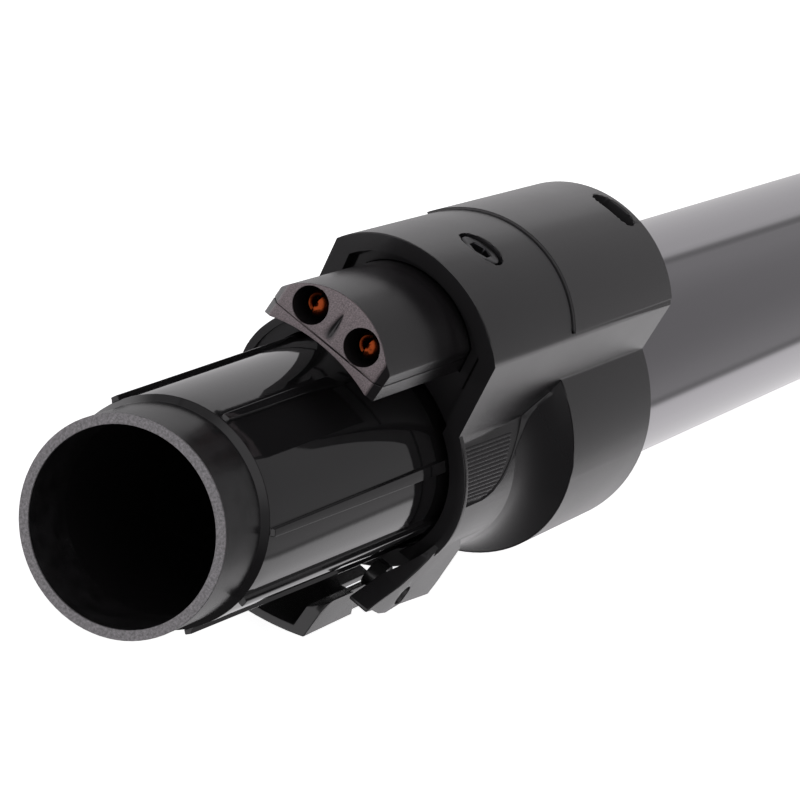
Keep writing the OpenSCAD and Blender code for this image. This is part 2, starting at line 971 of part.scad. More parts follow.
module socket_housing() {
    color("#2c2c2e")
    difference() {
        union() {
            bar(collar_r, far_rear_x, far_wall_x);
            along(far_seam_x, shroud_x)
                lobe2d();
            along(far_rear_x, far_seam_x + tiny)
                intersection() {
                    lobe2d();
                    below2d(seat_z);
                }
            along(far_rear_x, far_rear_x + rear_wall_t)
                lobe2d(cover_t + fit_gap);
        }
        // hollow crown, closed around the pin block
        difference() {
            along(far_seam_x - 3, shroud_x + 1)
                intersection() {
                    lobe2d(wall);
                    above2d(block_floor_r - fit_gap - 3);
                }
            post(4, far_screw_x, 0, block_top + fit_gap, crown_z);
            along(far_block_x + 8, pin_face_x)
                difference() {
                    lobe2d();
                    block2d(fit_gap);
                }
        }
        // the shroud around the pins is open to the sleeve
        along(far_wall_x, shroud_x + 1)
            intersection() {
                lobe2d(wall);
                above2d(0);
            }
        along(far_rear_x + rear_wall_t, far_seam_x - 2)
            intersection() {
                lobe2d(wall);
                above2d(trough_z);
            }
        block([tube_end_x - 1, -duct_w / 2, 12],
            [far_block_x + 1, duct_w / 2, contact_z + 1.4]);
        bar(tube_r + fit_gap, far_rear_x - 1, tube_end_x + 1);
        bar(socket_or + fit_gap, tube_end_x, wand_l + 1);
        post(4, far_screw_x, 0, crown_z - 2.4, crown_z + 4);
        post(1.7, far_screw_x, 0, contact_z - 0.6, crown_z);
        post(1.7, far_tube_screw_x, 0, 12, tube_r + 6);
        block([far_rear_x - 1, -40, -60], [shroud_x + 1, 40, -axis_h]);
        // end of the shroud, slanted like the front of the spigot's housing
        behind(shroud_cut_x);
    }
}

module socket_cover() {
    color("#29292b") {
        crown_band(far_rear_x, far_seam_x - cover_gap, cover_proud);
        cover_lip(far_seam_x - 4, far_seam_x + 2.5, far_seam_x - 4, far_seam_x - cover_gap);
    }
}

module pin_block() {
    color("#1d1d1f")
    difference() {
        union() {
            along(far_block_x, pin_face_x)
                block2d();
            block([far_block_x - 10, -2.4, contact_z - 2],
                [far_block_x + 1, 2.4, block_top - 0.2]);
        }
        contact_holes(far_block_x - 1, pin_face_x + 1, pin_root_r + fit_gap);
        post(1.25, far_screw_x, 0, 20, 40);
    }
}

module contact_pin(side) {
    y = side * contact_pitch / 2;
    color("#b08d3c")
    difference() {
        union() {
            bar(pin_root_r, far_block_x - 1, pin_face_x - 0.05, y, contact_z);
            cone(pin_root_r, pin_d / 2, pin_face_x - 0.05 - tiny, pin_face_x + 0.4, y, contact_z);
            bar(pin_d / 2, pin_face_x, pin_tip_x - 1, y, contact_z);
            cone(pin_d / 2, pin_d / 2 - 0.8, pin_tip_x - 1 - tiny, pin_tip_x, y, contact_z);
            bar(crimp_r, far_block_x - 7, far_block_x - 0.6, y, contact_z);
        }
        bar(wire_r + 0.02, far_block_x - 8, far_block_x - 3, y, contact_z);
    }
}

module pin_left() { contact_pin(1); }
module pin_right() { contact_pin(-1); }

module pin_block_screw() {
    color("#1a1a1a")
    cap_screw(far_screw_x, crown_z - 2.4, contact_z - 1.5, 3.3, 1.9, 1.23);
}

spigot();
bell_housing();
rear_cover();
contact_cap();
contact_base();
contact_left();
contact_right();
block_screw();
latch_lever();
hinge_pins();
latch_spring();
wand_tube();
liner_tube();
wire_left();
wire_right();
tube_screws();
liner_seals();
socket_sleeve();
socket_housing();
socket_cover();
pin_block();
pin_left();
pin_right();
pin_block_screw();
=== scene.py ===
import json
import math
import bmesh
import bpy
from mathutils import Matrix, Vector
from mathutils.bvhtree import BVHTree

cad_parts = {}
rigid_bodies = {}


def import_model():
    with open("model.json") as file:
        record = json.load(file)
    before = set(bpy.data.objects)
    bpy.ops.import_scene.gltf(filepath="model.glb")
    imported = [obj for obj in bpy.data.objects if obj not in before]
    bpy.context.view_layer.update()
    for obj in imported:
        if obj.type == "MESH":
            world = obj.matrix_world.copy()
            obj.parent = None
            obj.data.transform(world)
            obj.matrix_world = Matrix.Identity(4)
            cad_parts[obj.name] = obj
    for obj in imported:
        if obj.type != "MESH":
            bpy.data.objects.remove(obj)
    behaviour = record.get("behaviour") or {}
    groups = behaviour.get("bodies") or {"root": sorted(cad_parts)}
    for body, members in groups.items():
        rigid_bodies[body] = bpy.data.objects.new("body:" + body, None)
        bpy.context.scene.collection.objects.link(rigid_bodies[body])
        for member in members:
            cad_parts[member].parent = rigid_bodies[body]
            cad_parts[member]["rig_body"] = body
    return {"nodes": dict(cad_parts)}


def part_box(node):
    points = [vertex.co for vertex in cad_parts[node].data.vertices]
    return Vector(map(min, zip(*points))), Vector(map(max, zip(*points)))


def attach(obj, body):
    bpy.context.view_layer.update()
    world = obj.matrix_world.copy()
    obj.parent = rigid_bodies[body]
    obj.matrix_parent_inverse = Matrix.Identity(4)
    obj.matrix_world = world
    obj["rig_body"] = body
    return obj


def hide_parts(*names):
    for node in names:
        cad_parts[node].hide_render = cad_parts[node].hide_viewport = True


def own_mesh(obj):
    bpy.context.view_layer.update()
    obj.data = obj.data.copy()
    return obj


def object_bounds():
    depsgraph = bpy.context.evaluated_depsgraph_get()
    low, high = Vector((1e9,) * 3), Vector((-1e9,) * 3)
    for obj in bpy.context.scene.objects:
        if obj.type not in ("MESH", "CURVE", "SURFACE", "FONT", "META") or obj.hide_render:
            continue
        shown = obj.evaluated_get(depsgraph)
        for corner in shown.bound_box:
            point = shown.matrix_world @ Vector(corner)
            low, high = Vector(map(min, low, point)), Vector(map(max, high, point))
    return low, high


bl_info = {
    "name": "Vacuum extension wand",
    "version": (1, 0, 0),
    "blender": (4, 5, 0),
    "location": "View3D > Sidebar > Wand",
    "description": "Dresses the wand's solids with finishes, soft edges and a studio",
    "category": "Object",
}

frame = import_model()
cad_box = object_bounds()


# Mesh helpers

def face_height(face):
    """Height of a face above its longest edge"""
    return 2 * face.calc_area() / max(e.calc_length() for e in face.edges)


def rounded(bm, hard, width, segments):
    """Rounds edges, apart from those whose rounding would eat into what is beside them"""
    bm.edges.index_update()
    before = BVHTree.FromBMesh(bm)
    chosen = [e.index for e in hard]
    ends = {e.index: [e.verts[0].co.lerp(e.verts[1].co, t) for t in (0.0, 0.5, 1.0)] for e in hard}
    joins = {}
    for e in hard:
        for v in e.verts:
            joins.setdefault(v.index, []).append(e.index)
    beside = {e.index: {k for v in e.verts for k in joins[v.index]} for e in hard}
    while True:
        trial = bm.copy()
        trial.edges.ensure_lookup_table()
        bmesh.ops.bevel(trial, geom=[trial.edges[k] for k in chosen], offset=width,
                        offset_type="OFFSET", segments=segments, profile=0.5, affect="EDGES",
                        clamp_overlap=False, material=-1)
        bmesh.ops.triangulate(trial, faces=[f for f in trial.faces if len(f.verts) > 4])
        after = BVHTree.FromBMesh(trial)
        eaten = {k for k in chosen
                 if max(after.find_nearest(p)[3] for p in ends[k]) > 1.1 * width}
        strays = [v.co for v in trial.verts] + [f.calc_center_median() for f in trial.faces]
        for p in strays:
            if before.find_nearest(p)[3] > 0.8 * width:
                eaten.add(min(chosen, key=lambda k: min((q - p).length for q in ends[k])))
        if not eaten:
            bm.free()
            return trial
        trial.free()
        spare = set().union(*(beside[k] for k in eaten))
        chosen = [k for k in chosen if k not in spare]


def softened(node, name, width, keep_angle=28.0, segments=2, before=None, after=None):
    """Copy of a solid with its hard edges rounded, which stands for that solid"""
    mesh = frame["nodes"][node].data.copy()
    mesh.name = name
    mesh.materials.clear()
    bm = bmesh.new()
    bm.from_mesh(mesh)
    bmesh.ops.remove_doubles(bm, verts=bm.verts, dist=2e-6)
    if before:
        before(bm)
    bmesh.ops.dissolve_degenerate(bm, dist=1e-6, edges=bm.edges)
    bmesh.ops.dissolve_limit(bm, angle_limit=math.radians(0.5), verts=bm.verts, edges=bm.edges,
                             use_dissolve_boundaries=False, delimit={"NORMAL"})
    # faces too narrow for the rounding keep their sharp edges
    hard = [e for e in bm.edges if len(e.link_faces) == 2
            and e.calc_face_angle(0.0) > math.radians(keep_angle)
            and min(face_height(f) for f in e.link_faces) > 1.5 * width]
    bm = rounded(bm, hard, width, segments)
    if after:
        after(bm)
    low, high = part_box(node)
    for v in bm.verts:
        v.co = [min(max(c, a), b) for c, a, b in zip(v.co, low, high)]
    for f in bm.faces:
        f.smooth = True
    for e in bm.edges:
        if len(e.link_faces) == 2 and e.calc_face_angle(0.0) > math.radians(40):
            e.smooth = False
    bm.to_mesh(mesh)
    bm.free()
    piece = bpy.data.objects.new(name, mesh)
    bpy.context.scene.collection.objects.link(piece)
    modifier = piece.modifiers.new("Even shading", "WEIGHTED_NORMAL")
    modifier.keep_sharp = True
    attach(piece, frame["nodes"][node]["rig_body"])
    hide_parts(node)
    return piece


def paint(obj, material):
    obj.data.materials.clear()
    obj.data.materials.append(material)


# Material helpers

def socket(group, name, kind, side, value=None):
    item = group.interface.new_socket(name=name, in_out=side, socket_type=kind)
    if value is not None:
        item.default_value = value
    return item


def moulded_group():
    """Fine moulded grain with faint rubbing, for plastics"""
    name = "Moulded surface"
    if name in bpy.data.node_groups:
        return bpy.data.node_groups[name]
    g = bpy.data.node_groups.new(name, "ShaderNodeTree")
    socket(g, "Color", "NodeSocketColor", "INPUT", (0.02, 0.02, 0.02, 1))
    socket(g, "Roughness", "NodeSocketFloat", "INPUT", 0.35)
    socket(g, "Variation", "NodeSocketFloat", "INPUT", 0.06)
    socket(g, "Grain scale", "NodeSocketFloat", "INPUT", 2600.0)
    socket(g, "Color", "NodeSocketColor", "OUTPUT")
    socket(g, "Roughness", "NodeSocketFloat", "OUTPUT")
    socket(g, "Height", "NodeSocketFloat", "OUTPUT")
    n, link = g.nodes, g.links
    inp, out = n.new("NodeGroupInput"), n.new("NodeGroupOutput")
    coord = n.new("ShaderNodeTexCoord")
    grain = n.new("ShaderNodeTexNoise")
    grain.inputs["Detail"].default_value = 2.0
    cloud = n.new("ShaderNodeTexNoise")
    cloud.inputs["Scale"].default_value = 90.0
    cloud.inputs["Detail"].default_value = 4.0
    link.new(coord.outputs["Object"], grain.inputs["Vector"])
    link.new(coord.outputs["Object"], cloud.inputs["Vector"])
    link.new(inp.outputs["Grain scale"], grain.inputs["Scale"])
    centred = n.new("ShaderNodeMath")
    centred.operation = "SUBTRACT"
    centred.inputs[1].default_value = 0.5
    link.new(cloud.outputs["Fac"], centred.inputs[0])
    spread = n.new("ShaderNodeMath")
    spread.operation = "MULTIPLY"
    link.new(centred.outputs[0], spread.inputs[0])
    link.new(inp.outputs["Variation"], spread.inputs[1])
    rough = n.new("ShaderNodeMath")
    rough.operation = "ADD"
    rough.use_clamp = True
    link.new(inp.outputs["Roughness"], rough.inputs[0])
    link.new(spread.outputs[0], rough.inputs[1])
    shade = n.new("ShaderNodeMath")
    shade.operation = "ADD"
    shade.inputs[1].default_value = 1.0
    link.new(spread.outputs[0], shade.inputs[0])
    tint = n.new("ShaderNodeVectorMath")
    tint.operation = "SCALE"
    link.new(inp.outputs["Color"], tint.inputs[0])
    link.new(shade.outputs[0], tint.inputs["Scale"])
    link.new(tint.outputs[0], out.inputs["Color"])
    link.new(rough.outputs[0], out.inputs["Roughness"])
    link.new(grain.outputs["Fac"], out.inputs["Height"])
    return g


def plastic(name, color, roughness, grain=0.00001, variation=0.06, grain_scale=2600.0, level=0.5,
            coat=0.0):
    """Principled plastic whose colour, roughness and bump come from the moulded group"""
    m = bpy.data.materials.new(name)
    m.use_nodes = True
    n, link = m.node_tree.nodes, m.node_tree.links
    shader = n["Principled BSDF"]
    shader.inputs["Specular IOR Level"].default_value = level
    shader.inputs["Coat Weight"].default_value = coat
    shader.inputs["Coat Roughness"].default_value = 0.06
    group = n.new("ShaderNodeGroup")
    group.node_tree = moulded_group()
    group.inputs["Color"].default_value = (*color, 1)
    group.inputs["Roughness"].default_value = roughness
    group.inputs["Variation"].default_value = variation
    group.inputs["Grain scale"].default_value = grain_scale
    bump = n.new("ShaderNodeBump")
    bump.inputs["Distance"].default_value = grain
    bump.inputs["Strength"].default_value = 1.0
    link.new(group.outputs["Color"], shader.inputs["Base Color"])
    link.new(group.outputs["Roughness"], shader.inputs["Roughness"])
    link.new(group.outputs["Height"], bump.inputs["Height"])
    link.new(bump.outputs["Normal"], shader.inputs["Normal"])
    return m


def metal(name, color, roughness, streak=0.03, streak_scale=(40.0, 900.0, 900.0), bump=0.0):
    """Principled metal with fine lengthwise drawing marks"""
    m = bpy.data.materials.new(name)
    m.use_nodes = True
    n, link = m.node_tree.nodes, m.node_tree.links
    shader = n["Principled BSDF"]
    shader.inputs["Metallic"].default_value = 1.0
    coord, place = n.new("ShaderNodeTexCoord"), n.new("ShaderNodeMapping")
    place.inputs["Scale"].default_value = streak_scale
    noise = n.new("ShaderNodeTexNoise")
    noise.inputs["Scale"].default_value = 1.0
    noise.inputs["Detail"].default_value = 3.0
    link.new(coord.outputs["Object"], place.inputs["Vector"])
    link.new(place.outputs["Vector"], noise.inputs["Vector"])
    spread = n.new("ShaderNodeMapRange")
    spread.inputs["To Min"].default_value = max(0.0, roughness - streak)
    spread.inputs["To Max"].default_value = roughness + streak
    link.new(noise.outputs["Fac"], spread.inputs["Value"])
    link.new(spread.outputs["Result"], shader.inputs["Roughness"])
    ramp = n.new("ShaderNodeValToRGB")
    ramp.color_ramp.elements[0].color = (*[c * 0.93 for c in color], 1)
    ramp.color_ramp.elements[1].color = (*color, 1)
    link.new(noise.outputs["Fac"], ramp.inputs["Fac"])
    link.new(ramp.outputs["Color"], shader.inputs["Base Color"])
    if bump:
        b = n.new("ShaderNodeBump")
        b.inputs["Distance"].default_value = bump
        link.new(noise.outputs["Fac"], b.inputs["Height"])
        link.new(b.outputs["Normal"], shader.inputs["Normal"])
    return m


def masked_below(material, axis, limit, soft, color, roughness, grain=1500.0):
    """Changes colour and roughness where a coordinate lies below a limit, such as a cut face, whose
    lighter colour is partly its own and partly painted light
    """
    n, link = material.node_tree.nodes, material.node_tree.links
    shader = n["Principled BSDF"]
    coord, split = n.new("ShaderNodeTexCoord"), n.new("ShaderNodeSeparateXYZ")
    link.new(coord.outputs["Object"], split.inputs[0])
    mask = n.new("ShaderNodeMapRange")
    mask.inputs["From Min"].default_value = limit
    mask.inputs["From Max"].default_value = limit + soft
    mask.inputs["To Min"].default_value = 1.0
    mask.inputs["To Max"].default_value = 0.0
    link.new(split.outputs[axis], mask.inputs["Value"])
    speck = n.new("ShaderNodeTexNoise")
    speck.inputs["Scale"].default_value = grain
    speck.inputs["Detail"].default_value = 5.0
    speck.inputs["Roughness"].default_value = 0.7
    link.new(coord.outputs["Object"], speck.inputs["Vector"])
    ramp = n.new("ShaderNodeValToRGB")
    ramp.color_ramp.elements[0].position = 0.35
    ramp.color_ramp.elements[0].color = (*[c * 0.55 for c in color], 1)
    ramp.color_ramp.elements[1].position = 0.7
    ramp.color_ramp.elements[1].color = (*[min(1.0, c * 1.7) for c in color], 1)
    link.new(speck.outputs["Fac"], ramp.inputs["Fac"])
    mix = n.new("ShaderNodeMix")
    mix.data_type = "RGBA"
    base = shader.inputs["Base Color"].links[0].from_socket
    link.new(mask.outputs["Result"], mix.inputs["Factor"])
    link.new(base, mix.inputs[6])
    link.new(ramp.outputs["Color"], mix.inputs[7])
    link.new(mix.outputs[2], shader.inputs["Base Color"])
    blend = n.new("ShaderNodeMix")
    rough = shader.inputs["Roughness"].links[0].from_socket
    link.new(mask.outputs["Result"], blend.inputs["Factor"])
    link.new(rough, blend.inputs[2])
    blend.inputs[3].default_value = roughness
    link.new(blend.outputs[0], shader.inputs["Roughness"])
    return material


# Settings

class WandFinish(bpy.types.PropertyGroup):
    housing_color: bpy.props.FloatVectorProperty(
        name="Housing colour", description="Colour of the moulded housings", subtype="COLOR",
        size=3, min=0, max=1, default=(0.024, 0.0232, 0.0246))
    cover_color: bpy.props.FloatVectorProperty(
        name="Cover colour", description="Colour of the crown's covers", subtype="COLOR",
        size=3, min=0, max=1, default=(0.042, 0.0405, 0.0423))
    spigot_color: bpy.props.FloatVectorProperty(
        name="Spigot colour", description="Colour of the glossy spigot", subtype="COLOR",
        size=3, min=0, max=1, default=(0.018, 0.0175, 0.0185))
    tube_color: bpy.props.FloatVectorProperty(
        name="Tube colour", description="Colour of the polished tube", subtype="COLOR",
        size=3, min=0, max=1, default=(0.33, 0.32, 0.34))
    contact_color: bpy.props.FloatVectorProperty(
        name="Contact colour", description="Colour of the copper contacts", subtype="COLOR",
        size=3, min=0, max=1, default=(0.26, 0.046, 0.012))
    edge_round: bpy.props.FloatProperty(
        name="Edge rounding", description="Radius of the moulded edges", subtype="DISTANCE",
        unit="LENGTH", min=0, default=0.00022)


class WandStage(bpy.types.PropertyGroup):
    floor_z: bpy.props.FloatProperty(
        name="Floor height", description="Height of the surface that the wand lies on",
        subtype="DISTANCE", unit="LENGTH", default=cad_box[0].z)
    focal: bpy.props.FloatProperty(
        name="Focal length", description="Camera's focal length in millimetres", min=1,
        default=177.946)


# Camera axes
VIEW_AT = Vector((-0.450639, -0.130337, 0.208364))
VIEW_RIGHT = Vector((0.38535913, -0.74992274, 0.53769343))
VIEW_UP = Vector((0.13896318, 0.62321444, 0.76960574))
VIEW_BACK = Vector((-0.91224315, -0.22185501, 0.34437303))


# Directions that shape the studio light, in the world's axes
SWEEP = Vector((0.0, 0.616, -0.79)).normalized()
LEFT = Vector((0.0, 0.848, 0.53)).normalized()
FRONT = Vector((-0.912, 0.22, -0.344)).normalized()
BESIDE = Vector((0.23, 0.92, -0.29)).normalized()
ABOVE = Vector((-0.25, -0.3, 0.92)).normalized()


class WAND_OT_stage(bpy.types.Operator):
    """Camera, studio light and floor"""
    bl_idname = "wand.stage"
    bl_label = "Stage"

    def execute(self, context):
        s = context.scene.wand_stage
        self.camera(s)
        self.world()
        self.floor(s)
        context.scene.view_settings.view_transform = "Standard"
        return {"FINISHED"}

    def camera(self, s):
        cam = bpy.data.cameras.new("Photo camera")
        cam.lens = s.focal
        cam.sensor_width = 36
        cam.sensor_fit = "AUTO"
        cam.clip_start = 0.01
        cam.clip_end = 50
        obj = bpy.data.objects.new("Photo camera", cam)
        bpy.context.scene.collection.objects.link(obj)
        turn = Matrix((VIEW_RIGHT, VIEW_UP, VIEW_BACK)).transposed().to_4x4()
        obj.matrix_world = Matrix.Translation(VIEW_AT) @ turn
        bpy.context.scene.camera = obj

    def world(self):
        """White sweep below and to the left, a dim room above, and a soft box in front"""
        world = bpy.data.worlds.new("Studio")
        bpy.context.scene.world = world
        world.use_nodes = True
        n, link = world.node_tree.nodes, world.node_tree.links
        n.clear()
        coord = n.new("ShaderNodeTexCoord")

        def along(direction):
            dot = n.new("ShaderNodeVectorMath")
            dot.operation = "DOT_PRODUCT"
            dot.inputs[1].default_value = direction
            link.new(coord.outputs["Generated"], dot.inputs[0])
            return dot.outputs["Value"]

        def ease(value, low, high, at_low=0.0, at_high=1.0):
            edge = n.new("ShaderNodeMapRange")
            edge.interpolation_type = "SMOOTHSTEP"
            edge.inputs["From Min"].default_value = low
            edge.inputs["From Max"].default_value = high
            edge.inputs["To Min"].default_value = at_low
            edge.inputs["To Max"].default_value = at_high
            link.new(value, edge.inputs["Value"])
            return edge.outputs["Result"]

        def math_node(operation, a, b):
            node = n.new("ShaderNodeMath")
            node.operation = operation
            for k, value in enumerate((a, b)):
                if isinstance(value, float):
                    node.inputs[k].default_value = value
                else:
                    link.new(value, node.inputs[k])
            return node.outputs[0]

        ahead, down, left = along((1, 0, 0)), along(SWEEP), along(LEFT)
        room = ease(ahead, 0.71, 0.91, 0.04, 0.268)
        level = ease(left, -0.14, 0.12, 0.47, 0.25)
        halo = ease(down, -0.36, -0.17, 0.0, 0.07)
        sweep = math_node("MULTIPLY", ease(down, -0.125, -0.06), level)
        sweep = math_node("ADD", sweep, halo)
        sweep = math_node("MULTIPLY", sweep, ease(ahead, 0.835, 0.903, 0.03, 1.0))
        front = ease(along(FRONT), 0.55, 0.95, 0.0, 1.1)
        beside = ease(along(BESIDE), 0.72, 0.93, 0.0, 1.3)
        above = ease(along(ABOVE), 0.72, 0.96, 0.0, 0.5)
        ceiling = math_node("MULTIPLY", ease(along((0, 0, 1)), -0.1, 0.5, 0.0, 0.26),
                            ease(ahead, 0.5, 0.2))
        above = math_node("ADD", above, ceiling)
        total = math_node("ADD", math_node("ADD", room, sweep), front)
        total = math_node("ADD", total, math_node("ADD", beside, above))
        # narrow gap between the sweep and the room
        gap = math_node("MULTIPLY", ease(down, -0.15, -0.11), ease(down, -0.075, -0.105))
        total = math_node("MULTIPLY", total, math_node("SUBTRACT", 1.0,
                                                       math_node("MULTIPLY", gap, 0.42)))
        lit, seen = n.new("ShaderNodeBackground"), n.new("ShaderNodeBackground")
        lit.inputs["Color"].default_value = (1.0, 0.98, 1.0, 1)
        link.new(total, lit.inputs["Strength"])
        seen.inputs["Color"].default_value = (1, 1, 1, 1)
        path, mix = n.new("ShaderNodeLightPath"), n.new("ShaderNodeMixShader")
        out = n.new("ShaderNodeOutputWorld")
        link.new(path.outputs["Is Camera Ray"], mix.inputs[0])
        link.new(lit.outputs[0], mix.inputs[1])
        link.new(seen.outputs[0], mix.inputs[2])
        link.new(mix.outputs[0], out.inputs["Surface"])

    def floor(self, s):
        mesh = bpy.data.meshes.new("Floor")
        bm = bmesh.new()
        bmesh.ops.create_grid(bm, x_segments=1, y_segments=1, size=6.0,
                              matrix=Matrix.Translation((0, 0, s.floor_z)))
        bm.to_mesh(mesh)
        bm.free()
        obj = bpy.data.objects.new("Floor", mesh)
        bpy.context.scene.collection.objects.link(obj)
        m = bpy.data.materials.new("White sweep")
        m.use_nodes = True
        n, link = m.node_tree.nodes, m.node_tree.links
        n.clear()
        out = n.new("ShaderNodeOutputMaterial")
        path = n.new("ShaderNodeLightPath")
        matt, glow = n.new("ShaderNodeBsdfDiffuse"), n.new("ShaderNodeEmission")
        matt.inputs["Color"].default_value = (1, 1, 1, 1)
        glow.inputs["Strength"].default_value = 0.93
        lit = n.new("ShaderNodeAddShader")
        link.new(matt.outputs[0], lit.inputs[0])
        link.new(glow.outputs[0], lit.inputs[1])
        # only the camera sees the floor, and other rays reach the studio's own light
        dim = n.new("ShaderNodeBsdfTransparent")
        mix = n.new("ShaderNodeMixShader")
        link.new(path.outputs["Is Camera Ray"], mix.inputs[0])
        link.new(dim.outputs[0], mix.inputs[1])
        link.new(lit.outputs[0], mix.inputs[2])
        link.new(mix.outputs[0], out.inputs["Surface"])
        obj.data.materials.append(m)


class WAND_OT_spigot(bpy.types.Operator):
    """Glossy ribbed spigot with its rough-cut end"""
    bl_idname = "wand.spigot"
    bl_label = "Spigot"

    def execute(self, context):
        s = context.scene.wand_finish
        gloss = plastic("Gloss black", s.spigot_color, 0.06, grain=0.000002, variation=0.04,
                        grain_scale=700.0)
        masked_below(gloss, 0, 0.0105, 0.0003, (0.02, 0.0195, 0.0205), 0.26, 300.0)
        # the end face's lighter speckled grey is partly the whitened rough cut's own colour and partly
        # painted light that stands in for the front lamp
        masked_below(gloss, 0, 0.0001, 0.0002, (0.2, 0.192, 0.2), 0.5, 2600.0)
        paint(softened("spigot", "spigot_soft", 0.00012), gloss)
        sleeve = plastic("Gloss black sleeve", s.spigot_color, 0.12, grain=0.000002,
                         variation=0.04, grain_scale=700.0)
        paint(softened("socket_sleeve", "socket_sleeve_soft", 0.0002), sleeve)
        return {"FINISHED"}


class WAND_OT_housings(bpy.types.Operator):
    """Satin housings and covers at both ends"""
    bl_idname = "wand.housings"
    bl_label = "Housings"

    def execute(self, context):
        s = context.scene.wand_finish
        satin = plastic("Satin charcoal", s.housing_color, 0.24, variation=0.05)
        cover = plastic("Cover charcoal", s.cover_color, 0.22, variation=0.05)
        for node, name in (("bell_housing", "bell_housing_soft"),
                           ("socket_housing", "socket_housing_soft")):
            paint(softened(node, name, s.edge_round), satin)
        for node, name in (("rear_cover", "rear_cover_soft"),
                           ("socket_cover", "socket_cover_soft")):
            paint(softened(node, name, s.edge_round * 1.3), cover)
        return {"FINISHED"}


def sliced(bm, faces, axis, places):
    """Cuts faces across an axis at each place, and gives back the faces that result"""
    normal = Vector([float(k == axis) for k in range(3)])
    for place in places:
        geom = list({e for f in faces for e in f.edges} | {v for f in faces for v in f.verts}) + faces
        cut = bmesh.ops.bisect_plane(bm, geom=geom, dist=1e-7, plane_co=normal * place,
                                     plane_no=normal)
        faces = [g for g in cut["geom"] if isinstance(g, bmesh.types.BMFace)]
    return faces


def fill_notch(bm):
    """Closes the small square notch in the face of the contact block"""
    low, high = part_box("contact_cap")
    mid_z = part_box("contact_left")[0].z + 0.0031
    for v in bm.verts:
        if abs(v.co.y) < 0.0006 and abs(v.co.z - mid_z) < 0.0009 and v.co.x < low.x + 0.0009:
            v.co.x = low.x


def press_dimple(bm):
    """Presses a soft groove into the block's face between its two holes"""
    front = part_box("contact_cap")[0].x
    low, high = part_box("contact_left")
    mid_z = (low.z + high.z) / 2
    faces = [f for f in bm.faces if f.normal.x < -0.999 and abs(f.calc_center_median().x - front) < 1e-5]
    faces = sliced(bm, faces, 1, [k * 0.00012 for k in range(-13, 14)])
    faces = [f for f in faces if abs(f.calc_center_median().y) < 0.00157]
    faces = sliced(bm, faces, 2, [mid_z + k * 0.0003 for k in range(-8, 8)])
    for v in {v for f in faces for v in f.verts}:
        down = (mid_z + 0.0021 - v.co.z) / 0.0045
        if 0 < down < 1:
            reach = 0.0003 + 0.0011 * down
            depth = max(0.0, 1 - abs(v.co.y - 0.0001) / reach)
            v.co.x += 0.00055 * depth ** 1.4 * math.sin(math.pi * down) ** 0.5


def ring_section(bm, points, middle, start, turn, steps):
    """Turns a closed outline, given as x and radius, about the contact's axis"""
    verts = [bm.verts.new((x, middle.y + r * math.cos(start), middle.z + r * math.sin(start)))
             for x, r in points]
    edges = [bm.edges.new((verts[k - 1], verts[k])) for k in range(len(verts))]
    whole = abs(turn - 2 * math.pi) < 1e-6
    if not whole:
        bm.faces.new(verts)
    made = bmesh.ops.spin(bm, geom=verts + edges, cent=middle, axis=(1, 0, 0), angle=turn,
                          steps=steps, use_merge=whole)
    if not whole:
        end = [g for g in made["geom_last"] if isinstance(g, bmesh.types.BMEdge)]
        bmesh.ops.holes_fill(bm, edges=end, sides=0)


def socket_contact(node, material):
    """Two springy fingers that lean in to a rounded lip, on a barrel with a crimped end"""
    low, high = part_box(node)
    middle = Vector((0, (low.y + high.y) / 2, (low.z + high.z) / 2))
    front, root, back = low.x + 0.0002, low.x + 0.009, low.x + 0.0226
    slit = 0.22
    bm = bmesh.new()
    # seen along the contact, the finger on the left sits deeper and is thinner
    for start, tip, inner in ((-math.pi / 2 + slit, front, 0.0009),
                              (math.pi / 2 + slit, front - 0.001, 0.0001)):
        finger = [(tip + 0.0016, inner + 0.0001), (tip + 0.0004, inner),
                  (tip + 0.0001, inner + 0.0002), (tip, inner + 0.0005), (tip + 0.0001, 0.0012),
                  (tip + 0.0004, 0.0016), (tip + 0.0009, 0.0018), (front + 0.005, 0.0019),
                  (root, 0.0021), (root, 0.0015), (front + 0.005, 0.0015), (tip + 0.0028, 0.0012)]
        ring_section(bm, finger, middle, start, math.pi - 2 * slit, 14)
    barrel = [(root, 0.0015), (root, 0.0021), (back, 0.0021), (back, 0.0015)]
    ring_section(bm, barrel, middle, 0.0, 2 * math.pi, 28)
    crimp = (high.z - low.z) / 2 * 0.8
    tail = [(back, 0.0004), (back, crimp), (high.x, crimp), (high.x, 0.0004)]
    ring_section(bm, tail, middle, 0.0, 2 * math.pi, 28)
    bmesh.ops.remove_doubles(bm, verts=bm.verts, dist=1e-7)
    bmesh.ops.recalc_face_normals(bm, faces=bm.faces)
    for f in bm.faces:
        f.smooth = True
    for e in bm.edges:
        if len(e.link_faces) == 2 and e.calc_face_angle(0.0) > math.radians(60):
            e.smooth = False
    mesh = bpy.data.meshes.new(node + "_fingers")
    bm.to_mesh(mesh)
    bm.free()
    piece = bpy.data.objects.new(node + "_fingers", mesh)
    bpy.context.scene.collection.objects.link(piece)
    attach(piece, frame["nodes"][node]["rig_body"])
    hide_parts(node)
    paint(piece, material)


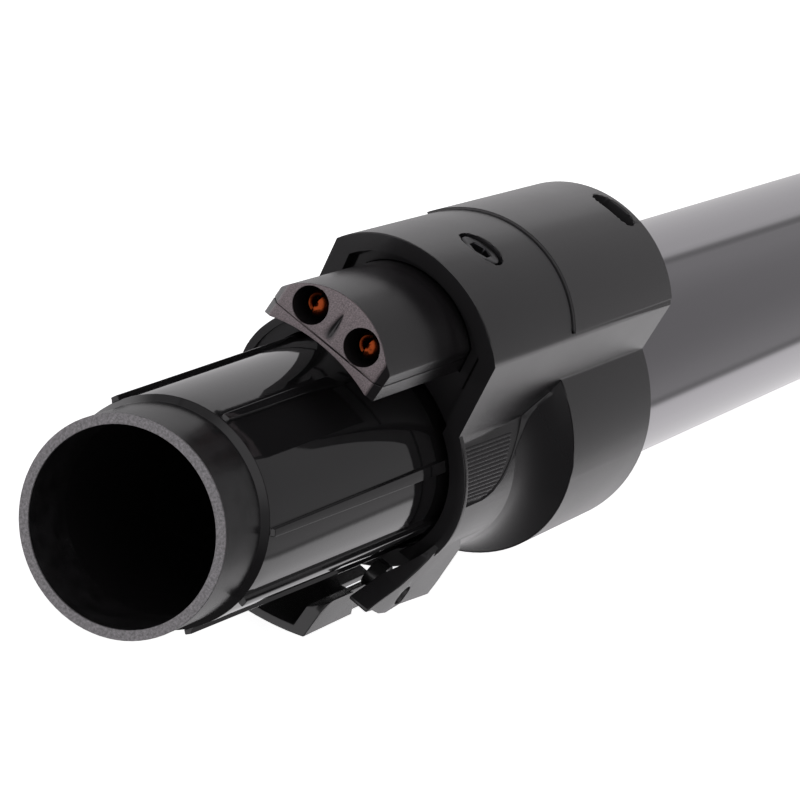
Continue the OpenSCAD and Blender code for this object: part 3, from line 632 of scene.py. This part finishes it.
class WAND_OT_contacts(bpy.types.Operator):
    """Contact block with copper contacts, and the pin block at the far end"""
    bl_idname = "wand.contacts"
    bl_label = "Contacts"

    def execute(self, context):
        s = context.scene.wand_finish
        block = plastic("Block black", (0.02, 0.0185, 0.0198), 0.24, variation=0.08)
        # the block's front face gets a lighter speckled colour: partly its own rough whitened face,
        # partly painted light that stands in for the front lamp
        masked_below(block, 0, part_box("contact_cap")[0].x + 0.00004, 0.00025,
                     (0.205, 0.17, 0.178), 0.5, 5200.0)
        paint(softened("contact_cap", "contact_cap_soft", 0.00018,
                       before=fill_notch, after=press_dimple), block)
        paint(softened("contact_base", "contact_base_soft", 0.00018), block)
        paint(softened("pin_block", "pin_block_soft", 0.0002), block)
        copper = metal("Copper", s.contact_color, 0.3, streak=0.12, streak_scale=(700, 900, 900),
                       bump=0.00014)
        brass = metal("Brass", (0.7, 0.5, 0.2), 0.2, streak=0.06)
        for node in ("contact_left", "contact_right"):
            socket_contact(node, copper)
        for node in ("pin_left", "pin_right"):
            paint(frame["nodes"][node], brass)
        return {"FINISHED"}


class WAND_OT_latch(bpy.types.Operator):
    """Latch lever with its pins and spring"""
    bl_idname = "wand.latch"
    bl_label = "Latch"

    def execute(self, context):
        lever = plastic("Lever black", (0.022, 0.022, 0.0225), 0.26, variation=0.08)
        paint(softened("latch_lever", "latch_lever_soft", 0.0002), lever)
        steel = metal("Steel", (0.6, 0.6, 0.61), 0.25)
        for node in ("hinge_pins", "tube_screws"):
            paint(frame["nodes"][node], steel)
        leaf = softened("latch_spring", "latch_spring_leaf", 0.00005)
        paint(leaf, steel)
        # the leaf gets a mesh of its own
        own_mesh(leaf)
        black = metal("Blackened steel", (0.09, 0.09, 0.095), 0.3, streak=0.08)
        for node in ("block_screw", "pin_block_screw"):
            paint(softened(node, node + "_soft", 0.00018), black)
        return {"FINISHED"}


class WAND_OT_tubes(bpy.types.Operator):
    """Polished tube, air liner, wires and seals"""
    bl_idname = "wand.tubes"
    bl_label = "Tubes"

    def execute(self, context):
        s = context.scene.wand_finish
        paint(frame["nodes"]["wand_tube"],
              metal("Polished gunmetal", s.tube_color, 0.07, streak=0.02,
                    streak_scale=(8.0, 300.0, 300.0)))
        paint(frame["nodes"]["liner_tube"],
              plastic("Liner grey", (0.03, 0.03, 0.03), 0.5, variation=0.1))
        paint(frame["nodes"]["wire_left"], plastic("Wire red", (0.25, 0.02, 0.015), 0.5))
        paint(frame["nodes"]["wire_right"], plastic("Wire black", (0.015, 0.015, 0.015), 0.5))
        paint(frame["nodes"]["liner_seals"], plastic("Seal rubber", (0.02, 0.02, 0.02), 0.7))
        return {"FINISHED"}


class WAND_PT_panel(bpy.types.Panel):
    bl_idname = "WAND_PT_panel"
    bl_label = "Vacuum wand"
    bl_space_type = "VIEW_3D"
    bl_region_type = "UI"
    bl_category = "Wand"

    def draw(self, context):
        for group in (context.scene.wand_finish, context.scene.wand_stage):
            for name in group.__annotations__:
                self.layout.prop(group, name)
        for op in STEPS:
            self.layout.operator(op.bl_idname)


STEPS = [WAND_OT_stage, WAND_OT_spigot, WAND_OT_housings, WAND_OT_contacts, WAND_OT_latch,
         WAND_OT_tubes]
CLASSES = [WandFinish, WandStage, *STEPS, WAND_PT_panel]


def register():
    for cls in CLASSES:
        bpy.utils.register_class(cls)
    bpy.types.Scene.wand_finish = bpy.props.PointerProperty(type=WandFinish)
    bpy.types.Scene.wand_stage = bpy.props.PointerProperty(type=WandStage)


def unregister():
    del bpy.types.Scene.wand_stage
    del bpy.types.Scene.wand_finish
    for cls in reversed(CLASSES):
        bpy.utils.unregister_class(cls)


def main():
    register()
    bpy.ops.wand.stage()
    bpy.ops.wand.spigot()
    bpy.ops.wand.housings()
    bpy.ops.wand.contacts()
    bpy.ops.wand.latch()
    bpy.ops.wand.tubes()


if __name__ == "__main__":
    main()
